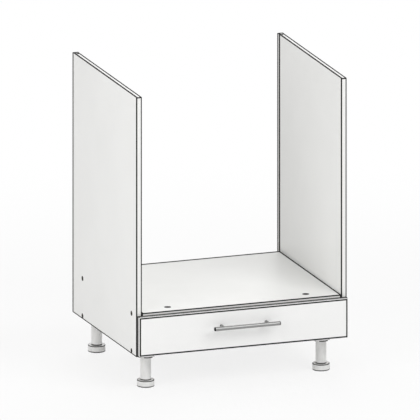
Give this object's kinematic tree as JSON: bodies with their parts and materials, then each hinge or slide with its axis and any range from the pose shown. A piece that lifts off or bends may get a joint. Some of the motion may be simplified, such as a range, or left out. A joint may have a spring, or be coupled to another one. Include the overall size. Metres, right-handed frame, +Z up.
{
  "type": "kitchen base cabinet",
  "caption": "White oven-housing base cabinet: open niche over a fixed shelf, a low drawer with bar handle below it, on adjustable legs.",
  "frame": {"origin": "on the floor, midway across the width and midway along the overall depth", "axes": "+X to the right seen from the front, +Y from front to back, +Z up"},
  "size_m": [0.6, 0.5525, 0.82],
  "materials": {
    "white_melamine": "white melamine-faced chipboard, fine satin texture",
    "front_white": "white lacquered board, satin",
    "white_hardboard": "thin hardboard, white one side, brown fibre the other",
    "edge_band_plastic": "white edge band, satin",
    "cap_plastic": "dark grey plastic",
    "dark_screw_steel": "blackened steel",
    "zinc_screw_steel": "zinc plated steel",
    "runner_steel": "rolled zinc plated steel",
    "handle_steel": "brushed satin steel",
    "leg_plastic": "moulded white plastic, fine grain"
  },
  "bodies": {
    "carcass": {"left_side_panel": "white_melamine", "left_side_edge_bands": "edge_band_plastic", "right_side_panel": "white_melamine", "right_side_edge_bands": "edge_band_plastic", "oven_shelf": "white_melamine", "shelf_edge_band": "edge_band_plastic", "bottom_panel": "white_melamine", "bottom_edge_band": "edge_band_plastic", "shelf_rail": "white_melamine", "shelf_rail_screws": "zinc_screw_steel", "shelf_rail_edge_band": "edge_band_plastic", "shelf_screw_caps": "cap_plastic", "back_panel": "white_hardboard", "back_panel_screws": "zinc_screw_steel", "carcass_screws": "dark_screw_steel", "left_runner_cabinet_rail": "runner_steel", "right_runner_cabinet_rail": "runner_steel", "runner_cabinet_screws": "zinc_screw_steel", "leg_socket_screws": "zinc_screw_steel", "front_left_leg_socket": "leg_plastic", "front_right_leg_socket": "leg_plastic", "rear_left_leg_socket": "leg_plastic", "rear_right_leg_socket": "leg_plastic", "front_left_leg_tube": "leg_plastic", "front_right_leg_tube": "leg_plastic", "rear_left_leg_tube": "leg_plastic", "rear_right_leg_tube": "leg_plastic"},
    "drawer": {"drawer_front": "front_white", "drawer_left_wall": "white_melamine", "drawer_right_wall": "white_melamine", "drawer_inner_front": "white_melamine", "drawer_back_wall": "white_melamine", "drawer_edge_bands": "edge_band_plastic", "drawer_base": "white_hardboard", "drawer_box_screws": "dark_screw_steel", "drawer_front_screws": "zinc_screw_steel", "left_handle_post": "handle_steel", "right_handle_post": "handle_steel", "handle_bar": "handle_steel", "handle_screws": "zinc_screw_steel", "left_runner_drawer_rail": "runner_steel", "right_runner_drawer_rail": "runner_steel", "runner_drawer_screws": "zinc_screw_steel"},
    "left_runner_middle_rail": {"left_runner_middle_rail": "runner_steel"},
    "left_runner_outer_cage": {"left_runner_outer_cage": "runner_steel"},
    "left_runner_inner_cage": {"left_runner_inner_cage": "runner_steel"},
    "right_runner_middle_rail": {"right_runner_middle_rail": "runner_steel"},
    "right_runner_outer_cage": {"right_runner_outer_cage": "runner_steel"},
    "right_runner_inner_cage": {"right_runner_inner_cage": "runner_steel"},
    "front_left_foot": {"front_left_foot": "leg_plastic"},
    "front_right_foot": {"front_right_foot": "leg_plastic"},
    "rear_left_foot": {"rear_left_foot": "leg_plastic"},
    "rear_right_foot": {"rear_right_foot": "leg_plastic"}
  },
  "joints": [
    {"name": "drawer_slide", "type": "slide", "parent": "carcass", "child": "drawer", "axis": [0, -1, 0], "range_m": [0, 0.45]},
    {"name": "left_runner_middle_rail_slide", "type": "slide", "parent": "carcass", "child": "left_runner_middle_rail", "axis": [0, -1, 0], "range_m": [0, 0.225]},
    {"name": "left_runner_outer_cage_slide", "type": "slide", "parent": "carcass", "child": "left_runner_outer_cage", "axis": [0, -1, 0], "range_m": [0, 0.1125]},
    {"name": "left_runner_inner_cage_slide", "type": "slide", "parent": "carcass", "child": "left_runner_inner_cage", "axis": [0, -1, 0], "range_m": [0, 0.3375]},
    {"name": "right_runner_middle_rail_slide", "type": "slide", "parent": "carcass", "child": "right_runner_middle_rail", "axis": [0, -1, 0], "range_m": [0, 0.225]},
    {"name": "right_runner_outer_cage_slide", "type": "slide", "parent": "carcass", "child": "right_runner_outer_cage", "axis": [0, -1, 0], "range_m": [0, 0.1125]},
    {"name": "right_runner_inner_cage_slide", "type": "slide", "parent": "carcass", "child": "right_runner_inner_cage", "axis": [0, -1, 0], "range_m": [0, 0.3375]},
    {"name": "front_left_foot_screw", "type": "slide", "parent": "carcass", "child": "front_left_foot", "axis": [0, 0, -1], "range_m": [0, 0.02]},
    {"name": "front_right_foot_screw", "type": "slide", "parent": "carcass", "child": "front_right_foot", "axis": [0, 0, -1], "range_m": [0, 0.02]},
    {"name": "rear_left_foot_screw", "type": "slide", "parent": "carcass", "child": "rear_left_foot", "axis": [0, 0, -1], "range_m": [0, 0.02]},
    {"name": "rear_right_foot_screw", "type": "slide", "parent": "carcass", "child": "rear_right_foot", "axis": [0, 0, -1], "range_m": [0, 0.02]}
  ],
  "couplings": [
    {"joint": "left_runner_middle_rail_slide", "follows": "drawer_slide", "ratio": 0.5},
    {"joint": "left_runner_outer_cage_slide", "follows": "drawer_slide", "ratio": 0.25},
    {"joint": "left_runner_inner_cage_slide", "follows": "drawer_slide", "ratio": 0.75},
    {"joint": "right_runner_middle_rail_slide", "follows": "drawer_slide", "ratio": 0.5},
    {"joint": "right_runner_outer_cage_slide", "follows": "drawer_slide", "ratio": 0.25},
    {"joint": "right_runner_inner_cage_slide", "follows": "drawer_slide", "ratio": 0.75}
  ]
}
